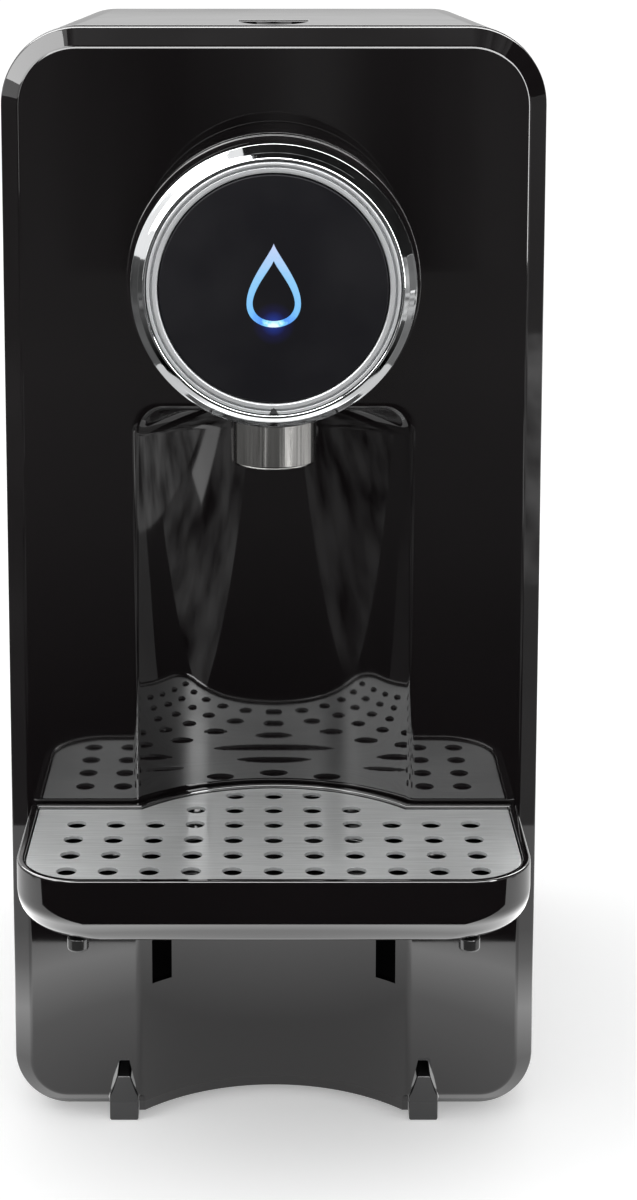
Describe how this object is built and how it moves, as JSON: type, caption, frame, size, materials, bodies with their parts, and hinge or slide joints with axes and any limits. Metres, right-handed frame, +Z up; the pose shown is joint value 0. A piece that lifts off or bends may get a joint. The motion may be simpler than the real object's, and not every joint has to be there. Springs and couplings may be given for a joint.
{
  "type": "instant hot water dispenser",
  "caption": "Tall rounded-box countertop water heater with a round dial spout over a concave cup bay, a height-adjustable drip tray and a lift-out rear tank.",
  "frame": {"origin": "on the table, under the middle of the box that the whole object fills", "axes": "+Z up, +X to the object's left as seen from behind and to the right as seen from the front; the dial and the tray face -Y"},
  "size_m": [0.16, 0.24, 0.335],
  "materials": {
    "gloss_black": "high gloss black moulding",
    "satin_black": "satin black moulding",
    "smoked_clear": "smoked clear moulding",
    "chrome": "mirror chrome",
    "satin_steel": "satin stainless steel",
    "rubber": "black rubber",
    "silicone": "translucent silicone",
    "lamp": "lit clear light guide",
    "board_green": "circuit board",
    "aluminium": "cast aluminium",
    "engine_grey": "pump motor shell",
    "zinc": "zinc-plated steel"
  },
  "bodies": {
    "base": {"front_fascia": "gloss_black", "front_foot_left": "gloss_black", "front_foot_right": "gloss_black", "body_shell": "gloss_black", "tank_deck": "satin_black", "base_plate": "satin_black", "rear_foot_left": "rubber", "rear_foot_right": "rubber", "rear_cover": "satin_black", "mains_gland": "rubber", "spout_housing": "gloss_black", "nozzle": "satin_steel", "nozzle_outlet": "satin_black", "dial_hub": "satin_black", "dial_board": "board_green", "button_spring": "zinc", "carriage_rod_left": "zinc", "carriage_rod_right": "zinc", "tank_coupling": "satin_black", "pump_motor": "engine_grey", "pump_head": "satin_black", "flow_heater": "aluminium", "thermostat": "satin_black", "thermal_fuse": "silicone", "hose_tank_to_pump": "silicone", "hose_pump_to_heater": "silicone", "hose_heater_to_spout": "silicone", "power_board": "board_green", "board_heat_sink": "aluminium", "base_screw_1": "zinc", "base_screw_2": "zinc", "base_screw_3": "zinc", "base_screw_4": "zinc", "cover_screw_1": "zinc", "cover_screw_2": "zinc", "cover_screw_3": "zinc", "cover_screw_4": "zinc", "spout_screw_1": "zinc", "spout_screw_2": "zinc", "spout_screw_3": "zinc"},
    "carriage": {"tray_carriage": "satin_black"},
    "tray": {"drip_tray": "gloss_black", "tray_foot_left": "rubber", "tray_foot_right": "rubber"},
    "plate": {"drip_plate": "satin_steel"},
    "dial": {"dial_ring": "chrome", "index_ring": "satin_steel"},
    "button": {"brew_button": "satin_black", "drop_light_guide": "lamp"},
    "tank": {"water_tank": "smoked_clear", "lid_hinge_pin_left": "zinc", "lid_hinge_pin_right": "zinc", "tank_valve": "satin_black", "valve_spring": "zinc", "tank_seal": "silicone"},
    "lid": {"tank_lid": "gloss_black"},
    "poppet": {"valve_poppet": "silicone"}
  },
  "joints": [
    {"name": "tray_height", "type": "slide", "parent": "base", "child": "carriage", "axis": [0, 0, -1], "range_m": [0, 0.0437]},
    {"name": "tray_pull", "type": "slide", "parent": "carriage", "child": "tray", "axis": [0, -1, 0], "range_m": [0, 0.03]},
    {"name": "plate_lift", "type": "slide", "parent": "tray", "child": "plate", "axis": [0, 0, 1], "range_m": [0, 0.02]},
    {"name": "dial_turn", "type": "hinge", "parent": "base", "child": "dial", "pos_m": [0, -0.06, 0.2674], "axis": [0, -1, 0], "range_deg": [-135, 135]},
    {"name": "button_press", "type": "slide", "parent": "base", "child": "button", "axis": [0, 1, 0], "range_m": [0, 0.0012], "stiffness_N_per_m": 400, "springref_m": -0.003, "deforming": ["button_spring"]},
    {"name": "tank_lift", "type": "slide", "parent": "base", "child": "tank", "axis": [0, 0, 1], "range_m": [0, 0.06]},
    {"name": "lid_open", "type": "hinge", "parent": "tank", "child": "lid", "pos_m": [0, 0.1135, 0.3105], "axis": [-1, 0, 0], "range_deg": [0, 90]},
    {"name": "poppet_drop", "type": "slide", "parent": "tank", "child": "poppet", "axis": [0, 0, -1], "range_m": [0, 0.004], "deforming": ["valve_spring"]}
  ],
  "couplings": [
    {"joint": "poppet_drop", "follows": "tank_lift", "ratio": 0.06}
  ]
}
